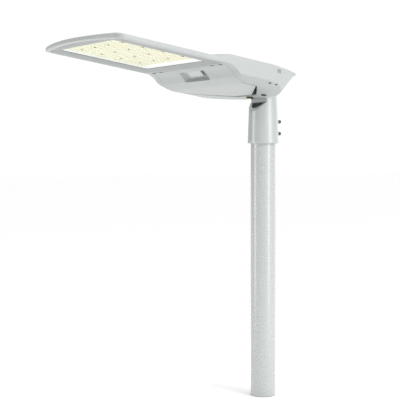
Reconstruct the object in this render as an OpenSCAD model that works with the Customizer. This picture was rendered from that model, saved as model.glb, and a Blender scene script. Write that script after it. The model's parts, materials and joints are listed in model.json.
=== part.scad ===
// Street lamp post: a round pole top with a tilting LED head on a spigot sleeve.
// Origin: centre of the pole's cut lower end. +Z runs up the pole, the head points to -Y.
// Head shapes are drawn in the head's own frame: w across, u forward, n up from the lens plane.

/* [Pole] */
// Outside diameter of the pole
pole_d = 60; // [48:1:76]
// Wall thickness of the pole tube
pole_wall = 3; // [2.5:0.5:5]
// Length of pole seen below the sleeve
pole_free = 604; // [300:10:2000]
// Depth of pole held inside the sleeve
pole_grip = 66; // [60:1:90]

/* [Sleeve] */
// Height of the sleeve from its rim to its top face
sleeve_h = 116; // [110:1:150]
// Wall of the sleeve at its rim
sleeve_wall = 7.1; // [6:0.1:9]
// How much the sleeve's radius shrinks towards its top
sleeve_taper = 4.1; // [2:0.1:5]
// Distance from the pole's axis to the flat front of the sleeve's top
sleeve_flat = 12; // [10:1:16]
// Height between the two set screws
screw_gap = 29; // [25:1:35]

/* [Tilt] */
// Upward tilt of the head at rest, in degrees
tilt = 8; // [0:1:15]
// Height of the tilt axis above the sleeve's top face
pivot_h = 14; // [13:1:18]
// Diameter of the tilt bolts
bolt_d = 8; // [6:1:10]

/* [Head] */
// Overall width of the head
head_w = 344; // [336:1:420]
// Distance from the pole's axis to the tip of the head
head_front = 525; // [510:1:640]
// Radius of the curved front edge
front_r = 590; // [500:10:900]
// Height of the slab's side edge
edge_h = 9; // [8:0.5:12]
// Rise of the slab's top above its edge
crown_h = 8; // [8:0.5:14]

/* [Light] */
// Lens modules along the head and across it
module_n = 4; // [2:1:4]
// Pitch of the modules along the head
module_u = 51; // [45:0.5:52]
// Pitch of the modules across the head
module_w = 60.8; // [50:0.2:61]
// Thickness of a lens plate
lens_t = 2.4; // [2:0.1:3]

/* [Gear cover] */
// How far the gear cover's edge lies inside the head's side
cover_inset = 22; // [21:1:40]
// Thickness of the cover's floor
cover_t = 3; // [2:0.5:4]

/* [Hidden] */
$fn = 64;
fit = 0.05;        // running clearance on a radius
gap = 0.4;         // clearance between castings
skin = 0.02;       // assembly gap between flat faces that lie on each other

// pole and sleeve
pole_r = pole_d / 2;
pole_len = pole_free + pole_grip;
sleeve_bore = pole_r + 0.3;
sleeve_r = pole_r + 0.3 + sleeve_wall;
sleeve_top_r = sleeve_r - sleeve_taper;
sleeve_top = pole_free + sleeve_h;
stop_r = pole_r - 3.2;             // hollow above the pole's stop
block_h = 18;                      // solid block at the top of the sleeve
cable_r = 9;
boss_r = 6;
boss_reach = sleeve_r + 3;
set_r = 3;
set_low = pole_free + 24.5;
set_head_r = 4.2;
set_out = sleeve_r + 12;

// tilt joint
pivot_z = sleeve_top + pivot_h;
ear_r = sleeve_flat - 3.4;         // ears stand behind the neck's front wall
ear_foot = ear_r - 3.2;            // half width below the pivot, narrow enough to tilt
ear_in = 18;
ear_out = 26.4;
cheek_in = ear_out + gap;
cheek_out = cheek_in + 4.4;
bolt_r = bolt_d / 2;
washer_t = 1.6;
washer_r = bolt_r + 4;
tilt_high = 7;                     // travel from rest, nose up

// head frame, set by where the tilt axis lies in it
pivot_drop = 16.5;                 // lens plane's height over the tilt axis, at the pole
head_z = pivot_z + pivot_drop;
pivot_y = pivot_drop * sin(tilt);
pivot_n = -pivot_drop * cos(tilt);

// slab
half_w = head_w / 2;
slab_rear = 224;                   // rear edge of the slab, behind it the gear cover begins
corner_r = 18;
crown_in = 45;                     // the top rises over this much from the edge
frame_in = 12;                     // housing's edge outside the lens frame
frame_top = -3;
frame_rear = slab_rear + 8;

// window and light
bank_u = module_n * module_u;
bank_w = module_n * module_w;
bank_rear = slab_rear + 42.5;
bank_front = bank_rear + bank_u;
win_rear = bank_rear - 11.5;
win_front = bank_front + 14;
win_half = bank_w / 2 + 0.8;
lip_n = -5.5;
lip_t = 1;
seal_w = 3.5;
board_t = 1.6;
pad_t = 0.4;
roof_n = lens_t + board_t + pad_t;
lens_screw_r = 1.5;
frame_screw_r = 1.5;
frame_screw_w = half_w - 22;
frame_screw_n = 0.8;
frame_screw_step = (head_front - frame_rear - 58) / 3;
frame_screw_at = [for (k = [0:3]) frame_rear + 18 + k * frame_screw_step];

// gear housing
rear_u = 250;                      // centre of the rounded rear end
rear_low_r = 237;
rear_high_r = 279;
rear_low_n = -50;
rear_high_n = 16;
side_n = -26;                      // lower edge of the side face
top_n = 12;
belly_n = -41;
shell_t = 3;
neck_half = cheek_out + 17;        // solid rear block that carries the neck
neck_front = sleeve_flat + 0.5;
notch_half = cheek_out + 14;
well_gap = 4.7;                    // room round the sleeve for the tilt
rear_wall = 7;
cavity_top = top_n - shell_t;
cavity_front = slab_rear - 10;

// gear cover: outline of its underside, from the hinge to the slab, as [u, n]
cover_rear = 56;
cover_front = slab_rear - 2;
belly = [[cover_rear, belly_n], [162, belly_n], [178, belly_n + 6], [188, belly_n + 11],
         [196, belly_n + 19], [205, belly_n + 26], [213, belly_n + 29], [cover_front, belly_n + 32]];
last = len(belly) - 1;
rim_h = 5.5;
seal_h = 1.5;
seat_h = rim_h + seal_h;
rim_t = 3;
cover_half = half_w - cover_inset;
cavity_half = cover_half - rim_t;
cover_corner = 12;
cover_tail = 36;                   // half width of the cover's narrow rear end
cover_wide = 130;                  // where the cover reaches its full width
swing_gap = 12.8;                 // room behind the cover for its rear edge to swing
swing_side = 1.8;                  // room beside the cover

// cover hinge
hinge_u = cover_rear + 9;
hinge_n = belly_n + 10;
hinge_r = 3;
lug_r = 5.5;
lug_w = 7;
lug_at = 24;

// latch in a scooped pocket of the cover's front face
latch_u = 198.5;
latch_n = belly_n + 19.5;
latch_lean = 35;
pocket_l = 27;
pocket_d = 12;
pocket_out = 46;
pocket_in = 32;
pocket_t = 2.5;
paddle_w = 52;
paddle_l = 20;
paddle_t = 3.5;
paddle_d = 6;                      // depth of the paddle's face in the pocket
latch_r = 1.5;
spring_l = 4.6;
spring_r = latch_r + 1;            // outside radius of the two coil springs on the latch's pin

// gear
tray_t = 2;
tray_n = cavity_top - 3;
tray_half = 128;
tray_rear = 75;
tray_front = 210;
post_w = 118;                      // the tray hangs from four posts
post_u = [85, 200];
driver = [170, 62, 32];            // across, along and high
driver_w = -122;
driver_u = 112;
terminal = [50, 20, 18];
terminal_w = -70;
terminal_u = 82;
surge = [46, 56, 26];
surge_w = 62;
surge_u = 120;
mains_w = -45;
mains_r = 3;
gland_u = neck_front;
gland_n = -12;
gland_r = 8;
gland_bore = 4.5;
lead_r = 1.3;
lead_w = 30;
lead_n = 2.55;
level_u = 34;
vent_at = [70, 46];
vent_r = 6;
level_r = 8;
side_bend = 100;                   // the sides turn in behind this
side_step = [14, 45];              // how far in, and over what length
plate_u = 82;
plate_size = [14, 9];
plate_lean = atan(side_step[0] / side_step[1]);
drain_at = [86, 104];
buffer_w = 14;
buffer_at = [106, 138];

// ---- helpers ----
module in_head() translate([0, 0, head_z]) rotate([-tilt, 0, 0]) children();
// a (u, n) outline made as wide as 2 * half across the head
module across(half) rotate([90, 0, -90]) linear_extrude(2 * half, center = true) children();
// a (w, n) outline run from u0 to u1 along the head
module lengthwise(u0, u1) translate([0, -u0, 0]) rotate([90, 0, 0]) linear_extrude(u1 - u0) children();
// a (w, u) outline raised from n0 to n1
module plan(n0, n1) translate([0, 0, n0]) mirror([0, 1, 0]) linear_extrude(n1 - n0) children();
// a box from one corner to the other, in (w, u, n)
module brick(a, b) translate([a[0], -b[1], a[2]]) cube([b[0] - a[0], b[1] - a[1], b[2] - a[2]]);
module rect(w, u0, u1) translate([-w, u0]) square([2 * w, u1 - u0]);
// rod across the head, centred on (w, u, n)
module cross_rod(r, w0, w1, u, n) translate([w0, -u, n]) rotate([0, 90, 0]) cylinder(w1 - w0, r = r);
module both_sides() for (s = [0, 1]) mirror([s, 0, 0]) children();
module rounded(r) offset(r = r) offset(delta = -r) children();

// ---- pole and sleeve ----
module pole_tube() color("lightgray") difference() {
    cylinder(pole_len, r = pole_r, $fn = 128);
    translate([0, 0, -1]) cylinder(pole_len + 2, r = pole_r - pole_wall, $fn = 128);
}

module sleeve_body() rotate_extrude($fn = 128)
    polygon([[sleeve_bore, pole_free], [sleeve_r, pole_free], [sleeve_top_r, sleeve_top],
             [cable_r, sleeve_top], [cable_r, sleeve_top - block_h], [stop_r, sleeve_top - block_h],
             [stop_r, pole_len + 1], [sleeve_bore, pole_len + 1]]);

// the front of the sleeve is cut off flat, and slants down and forward below that
module sleeve_notch() translate([0, -sleeve_flat, sleeve_top - block_h + 2]) {
    translate([-50, -50, 0]) cube([100, 50, 50]);
    translate([-50, 0, 0]) rotate([45, 0, 0]) translate([0, -80, 0]) cube([100, 80, 40]);
}

module set_rod(r, y0, y1) for (k = [0, 1])
    translate([0, y0, set_low + k * screw_gap]) rotate([-90, 0, 0]) cylinder(y1 - y0, r = r);

module spigot_sleeve() color("gainsboro") {
    difference() {
        union() {
            difference() {
                sleeve_body();
                sleeve_notch();
            }
            difference() {
                set_rod(boss_r, sleeve_bore + 3, boss_reach);
                translate([0, 0, pole_free - 1]) cylinder(sleeve_h, r = sleeve_bore);
            }
            both_sides() sleeve_ear();
        }
        set_rod(set_r + fit, 0, boss_reach + 1);
        translate([-50, 0, pivot_z]) rotate([0, 90, 0]) cylinder(100, r = bolt_r + fit);
    }
}

module sleeve_ear() {
    translate([ear_in, 0, pivot_z]) rotate([0, 90, 0]) cylinder(ear_out - ear_in, r = ear_r);
    translate([ear_in, -ear_foot, sleeve_top - 2]) cube([ear_out - ear_in, 2 * ear_foot, pivot_h + 2]);
}

module set_screws() color("silver") {
    set_rod(set_r, pole_r + 0.05, set_out - 3);
    set_rod(set_head_r - 0.4, set_out - 3, set_out);
}

module set_screw_caps() color("dimgray") difference() {
    set_rod(set_head_r, set_out - 3.2, set_out + 3);
    set_rod(set_head_r - 0.35, set_out - 4, set_out + 0.05);
}

module tilt_bolts() color("silver") both_sides() difference() {
    union() {
        translate([ear_in, 0, pivot_z]) rotate([0, 90, 0])
            cylinder(cheek_out + washer_t - ear_in, r = bolt_r);
        translate([cheek_out + washer_t, 0, pivot_z]) rotate([0, 90, 0]) cylinder(5, r = bolt_r + 2.5);
    }
    translate([cheek_out + washer_t + 2, 0, pivot_z]) rotate([0, 90, 0])
        cylinder(5, r = bolt_r * 0.85, $fn = 6);
}

module tilt_washers() color("silver") both_sides() translate([cheek_out, 0, pivot_z]) rotate([0, 90, 0])
    difference() {
        cylinder(washer_t, r = washer_r);
        translate([0, 0, -1]) cylinder(washer_t + 2, r = bolt_r + fit);
    }

// ---- head housing ----
module slab_shape(inset) rounded(corner_r) intersection() {
    rect(half_w - inset, slab_rear - 60, head_front);
    translate([0, head_front - front_r]) circle(front_r - inset, $fn = 256);
}

module slab_solid() intersection() {
    hull() {
        plan(-edge_h, 0) slab_shape(0);
        plan(crown_h - 0.5, crown_h) slab_shape(crown_in);
    }
    plan(-50, 50) rect(half_w, slab_rear, head_front);
}

// side outline of the gear housing; its lower edge is the gear cover's outline
module housing_side() polygon(concat(
    [[-60, top_n - 3], [60, top_n + 1], [100, top_n + 4], [200, top_n + 3], [229, top_n - 1],
     [250, top_n - 5], [270, top_n - 9], [285, 0], [285, frame_top], [slab_rear, frame_top],
     [slab_rear, frame_top - 3], belly[last]],
    [for (i = [last - 1:-1:1]) belly[i]],
    [[-60, belly_n]]));

module housing_end() polygon([[-half_w, side_n], [-half_w, top_n], [24 - half_w, top_n + 4],
    [half_w - 24, top_n + 4], [half_w, top_n], [half_w, side_n], [cover_half + 1, belly_n],
    [-cover_half - 1, belly_n]]);

// the rear end leans in towards its lower edge
module rear_cone(inset) translate([0, -rear_u, rear_low_n])
    cylinder(rear_high_n - rear_low_n, r1 = rear_low_r - inset, r2 = rear_high_r - inset, $fn = 256);

module rear_plan() polygon([[-half_w, 290], [half_w, 290], [half_w, side_bend],
    [half_w - side_step[0], side_bend - side_step[1]],
    [half_w - 60, -60], [60 - half_w, -60], [side_step[0] - half_w, side_bend - side_step[1]],
    [-half_w, side_bend]]);

module gear_body() intersection() {
    across(half_w) housing_side();
    lengthwise(-60, 290) housing_end();
    union() {
        rear_cone(0);
        plan(-60, 60) rect(half_w, rear_u, 290);
    }
    plan(-60, 60) rear_plan();
}

module gear_cavity() intersection() {
    lengthwise(-30, cavity_front) polygon([[-cavity_half, belly_n + shell_t],
        [-cavity_half, cavity_top - 4], [6 - cavity_half, cavity_top], [cavity_half - 6, cavity_top],
        [cavity_half, cavity_top - 4], [cavity_half, belly_n + shell_t]]);
    difference() {
        rear_cone(rear_wall);
        brick([-neck_half, -60, -60], [neck_half, neck_front, 60]);
    }
}

// the outline of what lies under a line rise above the cover's underside
module under_cover(rear, rise) polygon(concat(
    [[rear, -80], [slab_rear, -80], [slab_rear, belly[last][1] + rise]],
    [for (i = [last:-1:1]) belly[i] + [0, rise]],
    [[rear, belly_n + rise]]));

// shield-shaped outline of the cover, narrow at the hinge; grow widens it all round
module cover_shape(grow, rear) rounded(cover_corner + grow) polygon([
    [-cover_tail - grow, rear], [-cover_half - grow, cover_wide - grow], [-cover_half - grow, 320],
    [cover_half + grow, 320], [cover_half + grow, cover_wide - grow], [cover_tail + grow, rear]]);

module cover_room() intersection() {
    across(cover_half + swing_side) under_cover(cover_rear - swing_gap, seat_h + gap);
    plan(-80, 20) cover_shape(swing_side, cover_rear - swing_gap);
}

module neck_shape() intersection() {
    circle(sleeve_top_r, $fn = 128);
    translate([-cheek_out, -sleeve_flat]) square([2 * cheek_out, 60]);
}

// what lies under the neck: its foot is a shallow roof, so that it tilts both ways over the sleeve
module under_neck() translate([0, pivot_y, pivot_n + 0.6 - pivot_h]) {
    translate([-80, -80, -60]) cube([160, 80, 60]);
    rotate([tilt + tilt_high, 0, 0]) translate([-80, -20, -60]) cube([160, 120, 60]);
}

module neck_solid() difference() {
    translate([0, pivot_y, pivot_n - 40]) linear_extrude(40 - pivot_n) neck_shape();
    under_neck();
    translate([-50, pivot_y + sleeve_top_r, pivot_n + 5]) rotate([-40, 0, 0])
        translate([0, -60, 0]) cube([100, 120, 60]);
}

// the sleeve's top stands in a well, with the tilt bolts in a notch each side of the neck
module neck_well() {
    intersection() {
        translate([0, pivot_y, pivot_n - 60]) cylinder(60, r = sleeve_top_r + well_gap, $fn = 128);
        brick([-80, -80, -80], [80, sleeve_flat + well_gap, 0]);
        under_neck();
    }
    both_sides() brick([cheek_out, -80, -80], [notch_half, neck_front - shell_t, pivot_n + washer_r + 2]);
}

module neck_room() translate([-cheek_in, pivot_y - ear_r - gap, pivot_n - 40])
    cube([2 * cheek_in, 2 * (ear_r + gap), 40 + ear_r + gap]);

// the hinge's arms hang from the ceiling, clear of the cover's rear rim as it swings up inside
module hinge_arms() both_sides() for (w = [lug_at - lug_w, lug_at + lug_w]) {
    w0 = w - lug_w / 2 + gap;
    w1 = w + lug_w / 2 - gap;
    brick([w0, hinge_u - lug_r + 1, hinge_n], [w1, hinge_u + lug_r - 1, cavity_top + 1]);
    cross_rod(lug_r, w0, w1, hinge_u, hinge_n);
}

module tray_posts() for (w = [-post_w, post_w], u = post_u)
    translate([w, -u, tray_n]) cylinder(cavity_top - tray_n + 1, r = 6);

module cooling_fins() for (k = [-5:5])
    brick([k * 20 - 1.5, 290, crown_h - 1], [k * 20 + 1.5, 460, crown_h + 6]);

module light_room() {
    plan(-60, frame_top) intersection() {
        slab_shape(frame_in - gap);
        rect(half_w, frame_rear - gap, head_front);
    }
    plan(-60, lens_t) rect(win_half + seal_w + gap, win_rear - seal_w - gap, win_front + seal_w + gap);
    plan(-60, roof_n) rect(bank_w / 2 + 1, win_rear, bank_front + 1);
}

// two slots low on the head's right side, near the rear
module drain_slots() for (u = drain_at)
    translate([half_w - 7, -u, side_n - 4]) cube([14, 6, 3], center = true);

module frame_screw_rods(r, n0, n1) for (s = [-1, 1], u = frame_screw_at)
    translate([s * frame_screw_w, -u, n0]) cylinder(n1 - n0, r = r);

module lead_rod(r, u0, u1) translate([lead_w, -u0, lead_n]) rotate([90, 0, 0]) cylinder(u1 - u0, r = r);

module gland_rod(r, u0, u1, sides = 64) translate([0, -u0, gland_n]) rotate([90, 0, 0])
    cylinder(u1 - u0, r = r, $fn = sides);

module head_housing() color("gainsboro") in_head() difference() {
    union() {
        difference() {
            union() {
                slab_solid();
                gear_body();
            }
            gear_cavity();
            cover_room();
        }
        neck_solid();
        tray_posts();
        cooling_fins();
        hinge_arms();
    }
    neck_well();
    neck_room();
    light_room();
    drain_slots();
    translate([0, pivot_y, pivot_n]) rotate([0, 90, 0]) cylinder(100, r = bolt_r + fit, center = true);
    both_sides() cross_rod(hinge_r + fit, lug_at - 2 * lug_w, lug_at + 2 * lug_w, hinge_u, hinge_n);
    lead_rod(lead_r + gap, cavity_front - 1, win_rear + 1);
    gland_rod(gland_r + fit, gland_u - 8, gland_u + 1);
    frame_screw_rods(frame_screw_r + fit, -edge_h, 3);
    frame_screw_rods(2 * frame_screw_r + fit, frame_screw_n, 20);
    level_hole();
    translate([vent_at[0], -vent_at[1], belly_n - 1]) cylinder(10, r = vent_r - 2);
    side_patch(-1, 3, 0);
}

// ---- light ----
module lens_frame() color("silver") in_head() difference() {
    plan(-edge_h, frame_top - 0.05) intersection() {
        slab_shape(frame_in);
        rect(half_w, frame_rear, head_front);
    }
    hull() {
        plan(-edge_h - 0.1, -edge_h) rect(win_half + 22, win_rear - 18, win_front + 22);
        plan(lip_n - lip_t - 0.1, lip_n - lip_t) rect(win_half, win_rear, win_front);
    }
    plan(-20, 0) rounded(6) rect(win_half, win_rear, win_front);
    plan(lip_n, 0) rect(win_half + seal_w + 0.1, win_rear - seal_w - 0.1, win_front + seal_w + 0.1);
    frame_screw_rods(frame_screw_r + fit, -7, 0);
}

module lens_seal() color("dimgray") in_head() plan(lip_n, 0) difference() {
    rect(win_half + seal_w, win_rear - seal_w, win_front + seal_w);
    rounded(6) rect(win_half, win_rear, win_front);
}

module reflector_tray() color("white") in_head() plan(skin, 1) difference() {
    rect(win_half + seal_w, win_rear - seal_w, win_front + seal_w);
    rect(bank_w / 2 + 0.3, bank_rear - 0.3, bank_front + 0.3);
}

module at_modules() for (i = [0:module_n - 1], j = [0:module_n - 1])
    translate([(j + 0.5) * module_w - bank_w / 2, -(bank_rear + (i + 0.5) * module_u), 0]) children();

module lens_plates() color("lemonchiffon") in_head() at_modules() difference() {
    translate([0.2 - module_w / 2, 0.2 - module_u / 2, 0]) cube([module_w - 0.4, module_u - 0.4, lens_t]);
    translate([0, 0, -1]) cylinder(lens_t + 2, r = lens_screw_r + fit);
}

module led_boards() color("white") in_head() difference() {
    for (i = [0:module_n - 1])
        plan(lens_t + skin, lens_t + board_t)
            rect(bank_w / 2, bank_rear + i * module_u + 0.2, bank_rear + (i + 1) * module_u - 0.2);
    at_modules() cylinder(10, r = lens_screw_r + fit);
}

module thermal_pads() color("gray") in_head() difference() {
    for (i = [0:module_n - 1])
        plan(lens_t + board_t + skin, roof_n - skin)
            rect(bank_w / 2 - 2, bank_rear + i * module_u + 2, bank_rear + (i + 1) * module_u - 2);
    at_modules() cylinder(10, r = lens_screw_r + fit);
}

module lens_screws() color("dimgray") in_head() at_modules() {
    translate([0, 0, -1.4]) cylinder(1.4, r1 = 1.9, r2 = 2.6);
    cylinder(roof_n - skin, r = lens_screw_r);
}

module frame_screws() color("silver") in_head() {
    frame_screw_rods(frame_screw_r, -6.8, frame_screw_n);
    frame_screw_rods(2 * frame_screw_r, frame_screw_n, frame_screw_n + 1.6);
}

module led_connector() color("white") in_head() difference() {
    brick([lead_w - 8, win_rear + 1.5, 1.2], [lead_w + 8, bank_rear - 1, roof_n - skin]);
    lead_rod(lead_r + skin, 200, win_rear + 4);
}

module led_lead() color("white") in_head() lead_rod(lead_r, driver_u + driver[1], win_rear + 4);

// ---- gear cover and latch ----
module in_latch() translate([0, -latch_u, latch_n]) rotate([-latch_lean, 0, 0]) children();

// scooped pocket, open downwards in its own frame
module pocket_layer(half, grow, d) translate([-half - grow, -pocket_l / 2 - grow, d])
    cube([2 * (half + grow), pocket_l + 2 * grow, 1]);
module pocket(grow) in_latch() hull() {
    pocket_layer(pocket_out, grow, -9);
    pocket_layer(pocket_in, grow, pocket_d - 1 + grow);
}

module cover_band(half, low, high) across(half) polygon(concat(
    [for (p = belly) p + [0, low]], [for (i = [last:-1:0]) belly[i] + [0, high]]));

module gear_cover() color("gainsboro") in_head() difference() {
    union() {
        intersection() {
            difference() {
                cover_band(cover_half, 0, rim_h);
                intersection() {
                    cover_band(cover_half - rim_t, cover_t, 40);
                    plan(-80, 40) cover_shape(-rim_t, cover_rear + rim_t);
                    plan(-80, 40) rect(cover_half, cover_rear, cover_front - 2 * rim_t);
                }
            }
            plan(-80, 40) cover_shape(0, cover_rear);
        }
        both_sides() {
            cross_rod(lug_r, lug_at - lug_w / 2, lug_at + lug_w / 2, hinge_u, hinge_n);
            brick([lug_at - lug_w / 2, hinge_u - lug_r + 1, belly_n + 1],
                  [lug_at + lug_w / 2, hinge_u + lug_r - 1, hinge_n]);
        }
        intersection() {
            pocket(pocket_t);
            across(cover_half) polygon(concat(belly, [[cover_front - 8, 5], [cover_rear, 5]]));
        }
    }
    both_sides() cross_rod(hinge_r + fit, lug_at - lug_w, lug_at + lug_w, hinge_u, hinge_n);
    pocket(0);
    latch_rod(latch_r + fit, pocket_in + 5.3);
}

module cover_seal() color("dimgray") in_head() intersection() {
    difference() {
        cover_band(cover_half - 0.5, rim_h + skin, seat_h);
        plan(-80, 40) cover_shape(0.5 - rim_t, cover_rear + rim_t - 0.5);
    }
    plan(-80, 40) cover_shape(-0.5, cover_rear + 0.5);
}

module cover_hinge_pins() color("silver") in_head() both_sides()
    cross_rod(hinge_r, lug_at - 1.5 * lug_w + gap, lug_at + 1.5 * lug_w - gap, hinge_u, hinge_n);

module edge_buffers() color("dimgray") in_head() both_sides() for (w = buffer_at)
    brick([w - buffer_w / 2, slab_rear - 1, -edge_h - 1],
          [w + buffer_w / 2, slab_rear - skin, frame_top - 3]);

// the paddle turns about a pin near the pocket's upper edge
module latch_rod(r, half) in_latch() translate([-half, 4 - pocket_l / 2, paddle_d + paddle_t / 2])
    rotate([0, 90, 0]) cylinder(2 * half, r = r);

module latch_paddle() color("lightgray") difference() {
    in_head() in_latch() {
        translate([-paddle_w / 2, 4 - pocket_l / 2, paddle_d]) cube([paddle_w, paddle_l, paddle_t]);
        translate([-paddle_w / 2, 4 - pocket_l / 2, paddle_d + paddle_t / 2]) rotate([0, 90, 0])
            cylinder(paddle_w, r = 2.6);
    }
    in_head() latch_rod(latch_r + fit, paddle_w);
}

module latch_pin() color("silver") in_head() latch_rod(latch_r, pocket_in + 5.2);

module latch_springs() color("silver") in_head() difference() {
    latch_rod(spring_r, paddle_w / 2 + gap + spring_l);
    latch_rod(latch_r + fit, 2 * paddle_w);
    latch_rod(spring_r + 1, paddle_w / 2 + gap);
}

// ---- small parts ----
module level_hole() translate([0, -level_u, belly_n - 1]) cylinder(2.2, r = level_r - 2);
module level_ring() color("dimgray") in_head() translate([0, -level_u, belly_n - 4]) difference() {
    cylinder(4, r = level_r);
    translate([0, 0, -1]) cylinder(6, r = level_r - 2);
}
module level_vial() color("yellowgreen") in_head() translate([0, -level_u, belly_n - 4.6])
    cylinder(5.6, r = level_r - 2 - fit);

module gear_tray() color("silver") in_head()
    brick([-tray_half, tray_rear, tray_n - tray_t], [tray_half, tray_front, tray_n - skin]);

module tray_screws() color("silver") in_head() for (w = [-post_w, post_w], u = post_u)
    translate([w, -u, tray_n - tray_t - 2.4]) cylinder(2.4 - skin, r = 3.5);

// a box that hangs under the tray
module under_tray(size, w, u) brick([w, u, tray_n - tray_t - size[2]],
                                    [w + size[0], u + size[1], tray_n - tray_t - skin]);

module led_driver() color("white") in_head() under_tray(driver, driver_w, driver_u);
module terminal_block() color("white") in_head() under_tray(terminal, terminal_w, terminal_u);
module surge_protector() color("lightgray") in_head() under_tray(surge, surge_w, surge_u);

module cable_gland() color("dimgray") in_head() difference() {
    union() {
        gland_rod(gland_r, gland_u - shell_t - 1, gland_u);
        gland_rod(gland_r + 3, gland_u, gland_u + 5, 6);
        gland_rod(gland_r + 1, gland_u + 5, gland_u + 17);
    }
    gland_rod(gland_bore, gland_u - 10, gland_u + 30);
}

module mains_lead() color("dimgray") in_head()
    translate([mains_w, -terminal_u - terminal[1], tray_n - tray_t - terminal[2] / 2])
        rotate([90, 0, 0]) cylinder(driver_u - terminal_u - terminal[1], r = mains_r);

module breather_vent() color("dimgray") in_head() translate([vent_at[0], -vent_at[1], belly_n]) {
    translate([0, 0, -2.5]) cylinder(2.5 - skin, r = vent_r);
    translate([0, 0, -1]) cylinder(6, r = vent_r - 2 - fit);
}

// a blank plate let into the side, where the side turns in
module side_patch(t0, t1, shrink)
    translate([half_w - (side_bend - plate_u) * tan(plate_lean), -plate_u, 1]) rotate([0, 0, plate_lean])
        translate([t0, shrink - plate_size[0] / 2, shrink - plate_size[1] / 2])
            cube([t1 - t0, plate_size[0] - 2 * shrink, plate_size[1] - 2 * shrink]);
module side_plate() color("dimgray") in_head() side_patch(-1 + skin, 0.2, gap / 2);

pole_tube();
spigot_sleeve();
set_screws();
set_screw_caps();
tilt_bolts();
tilt_washers();
head_housing();
lens_frame();
lens_seal();
reflector_tray();
lens_plates();
led_boards();
thermal_pads();
lens_screws();
frame_screws();
gear_cover();
cover_seal();
cover_hinge_pins();
edge_buffers();
latch_paddle();
latch_pin();
latch_springs();
level_ring();
level_vial();
gear_tray();
tray_screws();
led_driver();
terminal_block();
surge_protector();
cable_gland();
led_lead();
led_connector();
mains_lead();
breather_vent();
side_plate();
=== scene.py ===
import bpy
import bmesh
import json
import math
from mathutils import Matrix, Vector


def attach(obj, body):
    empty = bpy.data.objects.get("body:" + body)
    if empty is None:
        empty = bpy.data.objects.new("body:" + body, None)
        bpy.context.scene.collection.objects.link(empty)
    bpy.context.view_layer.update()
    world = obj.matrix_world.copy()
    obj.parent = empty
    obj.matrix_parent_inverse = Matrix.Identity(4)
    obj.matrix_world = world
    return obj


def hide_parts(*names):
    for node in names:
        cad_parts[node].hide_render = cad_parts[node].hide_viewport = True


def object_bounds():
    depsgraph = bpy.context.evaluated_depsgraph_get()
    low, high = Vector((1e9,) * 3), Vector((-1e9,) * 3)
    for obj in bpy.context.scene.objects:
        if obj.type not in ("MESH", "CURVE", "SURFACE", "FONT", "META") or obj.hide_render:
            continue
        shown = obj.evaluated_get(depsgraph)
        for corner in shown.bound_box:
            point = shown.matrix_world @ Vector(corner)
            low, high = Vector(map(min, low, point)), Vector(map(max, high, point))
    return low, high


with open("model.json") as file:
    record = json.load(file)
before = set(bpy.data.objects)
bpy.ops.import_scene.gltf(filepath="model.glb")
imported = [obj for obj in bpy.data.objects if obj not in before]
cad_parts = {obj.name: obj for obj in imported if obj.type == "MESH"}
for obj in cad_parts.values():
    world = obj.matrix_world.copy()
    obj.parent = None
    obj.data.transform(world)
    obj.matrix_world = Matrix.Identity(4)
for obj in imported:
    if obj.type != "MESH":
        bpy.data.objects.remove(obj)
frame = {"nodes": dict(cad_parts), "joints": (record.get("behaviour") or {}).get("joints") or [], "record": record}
cadBox = [list(corner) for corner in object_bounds()]
jointAt = {joint["name"]: Vector(joint["pos_m"]) * 1000 for joint in frame["joints"]}
print("frame loaded:", len(frame["nodes"]), "nodes")

# camera, light and floor
cameraSet = {"lens": 95.9, "azimuth": 56.03, "place": (2.045, -1.561, 0.560), "shiftY": -0.0955}
worldSet = {"dim": 0.45, "bright": 1.04, "from": -1.0, "to": 0.3,     # it brightens towards +Y
            "flags": ((-160, 0.78, 0.4), (66, 0.86, 0.4))}          # dark cards: heading, edge and level
lightSet = {
    # name: place, what it looks at, width, height and watts
    "keyStrip": ((1.95, 0.6, 0.6), (0, 0, 0.5), 0.6, 1.7, 6),
    "highRight": ((2.0, 0.4, 2.0), (0, 0, 0.75), 0.9, 0.9, 22),
    "leftSoft": ((-0.8, -1.8, 0.6), (0, 0, 0.45), 0.5, 1.6, 6),
}
sunSet = {"strength": 0.6, "softness": 100.0}   # from straight above, so that the whole floor is white


def makeCamera():
    data = bpy.data.cameras.new("camera")
    data.lens = cameraSet["lens"]
    data.shift_y = cameraSet["shiftY"]
    camera = bpy.data.objects.new("camera", data)
    camera.location = cameraSet["place"]
    camera.rotation_euler = (math.radians(90), 0, math.radians(cameraSet["azimuth"]))
    bpy.context.scene.collection.objects.link(camera)
    bpy.context.scene.camera = camera


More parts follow.
